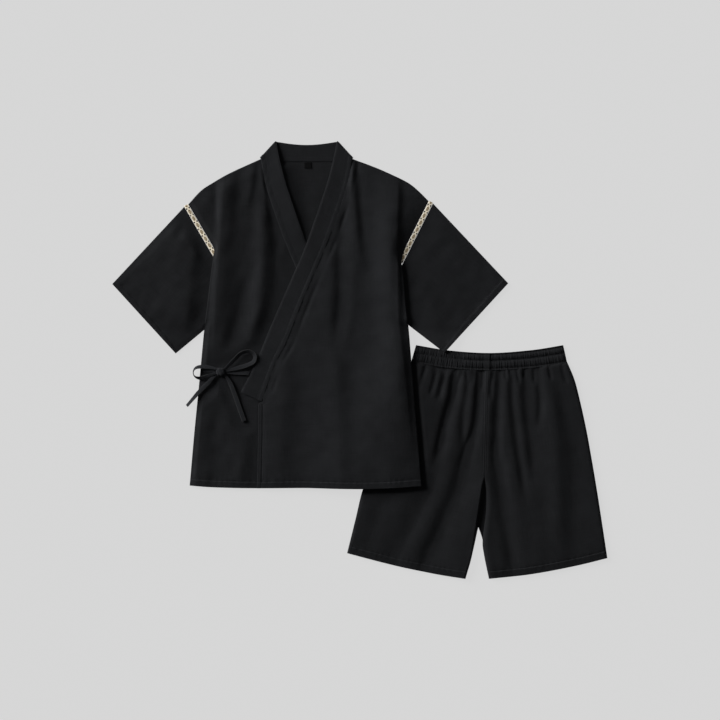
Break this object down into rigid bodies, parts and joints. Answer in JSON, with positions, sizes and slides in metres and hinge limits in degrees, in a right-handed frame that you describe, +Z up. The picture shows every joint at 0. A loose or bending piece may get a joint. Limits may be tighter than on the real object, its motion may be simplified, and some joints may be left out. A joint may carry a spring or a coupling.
{
  "type": "jinbei set laid flat",
  "caption": "Black cotton jinbei laid flat: a short-sleeved wrap jacket tied at the side, with cream tape at the armholes, its corner over gathered shorts.",
  "frame": {"origin": "centre of the whole set's box, on the surface that it lies on", "axes": "+X towards the wearer's left, +Y towards the collar, +Z up from the surface"},
  "size_m": [1.1, 0.9726, 0.0174],
  "materials": {
    "black_cotton": "plain-woven cotton with a fine slub, matt black",
    "cream_tape": "woven cream tape with a chain of brown ovals",
    "label_black": "black woven label, bare"
  },
  "bodies": {
    "root": {"jacket_back": "black_cotton", "jacket_front_right": "black_cotton", "jacket_front_left": "black_cotton", "collar": "black_cotton", "sleeve_right": "black_cotton", "sleeve_left": "black_cotton", "armhole_tape_right": "cream_tape", "armhole_tape_left": "cream_tape", "neck_label": "label_black", "tie_front": "black_cotton", "tie_side": "black_cotton", "bow_knot": "black_cotton", "bow_loop_left": "black_cotton", "bow_loop_right": "black_cotton", "bow_tail_left": "black_cotton", "bow_tail_right": "black_cotton", "waistband": "black_cotton", "shorts_front_right": "black_cotton", "shorts_front_left": "black_cotton", "shorts_back_right": "black_cotton", "shorts_back_left": "black_cotton"}
  },
  "joints": []
}
